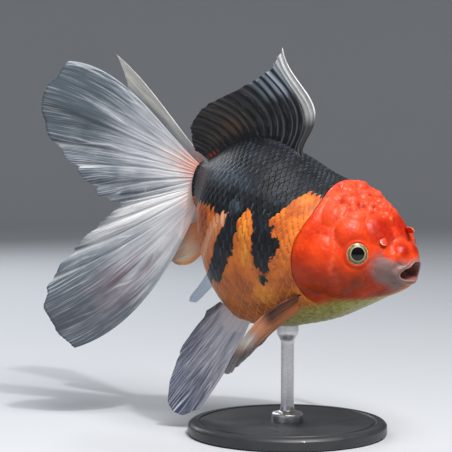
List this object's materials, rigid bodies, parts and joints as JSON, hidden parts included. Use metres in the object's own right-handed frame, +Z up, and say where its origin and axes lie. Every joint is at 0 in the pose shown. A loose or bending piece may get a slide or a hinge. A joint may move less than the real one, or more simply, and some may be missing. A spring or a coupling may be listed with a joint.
{
  "type": "goldfish display model",
  "caption": "Still, life-size fancy goldfish with a hooded head growth, deep round body, double tail and flowing fins, held up on a round base by a slim rod.",
  "frame": {"origin": "centre of the stand base's underside, on the surface that the model stands on", "axes": "+X the way the fish heads, +Z up out of the base, -Y the fish's right side"},
  "size_m": [0.1647, 0.0814, 0.1471],
  "materials": {
    "wen_red": "moist, knobbly skin, semi-gloss",
    "face_orange": "moist skin, semi-gloss",
    "cheek_orange": "moist skin, semi-gloss",
    "flank_orange": "scaled skin, orange with black saddle and bands, semi-gloss",
    "stem_black": "scaled skin, black, semi-gloss",
    "eye_black": "wet, glossy",
    "dorsal_grey": "thin fin, smoky, translucent in life",
    "fin_white": "thin fin, white, translucent in life",
    "fin_blue_white": "thin fin, bluish white, translucent in life",
    "fin_orange": "thin fin, orange and white, translucent in life",
    "stand_steel": "satin",
    "stand_black": "satin"
  },
  "bodies": {
    "root": {"head": "face_orange", "wen": "wen_red", "gill_cover_right": "cheek_orange", "gill_cover_left": "cheek_orange", "eye_right": "eye_black", "eye_left": "eye_black", "trunk": "flank_orange", "tail_stem": "stem_black", "dorsal_fin": "dorsal_grey", "pectoral_fin_right": "fin_orange", "pectoral_fin_left": "fin_orange", "pelvic_fin_right": "fin_blue_white", "pelvic_fin_left": "fin_blue_white", "anal_fin_right": "fin_orange", "anal_fin_left": "fin_blue_white", "caudal_upper_right": "fin_white", "caudal_upper_left": "fin_white", "caudal_lower_right": "fin_white", "caudal_lower_left": "fin_white", "stand_base": "stand_black", "stand_rod": "stand_steel"}
  },
  "joints": []
}
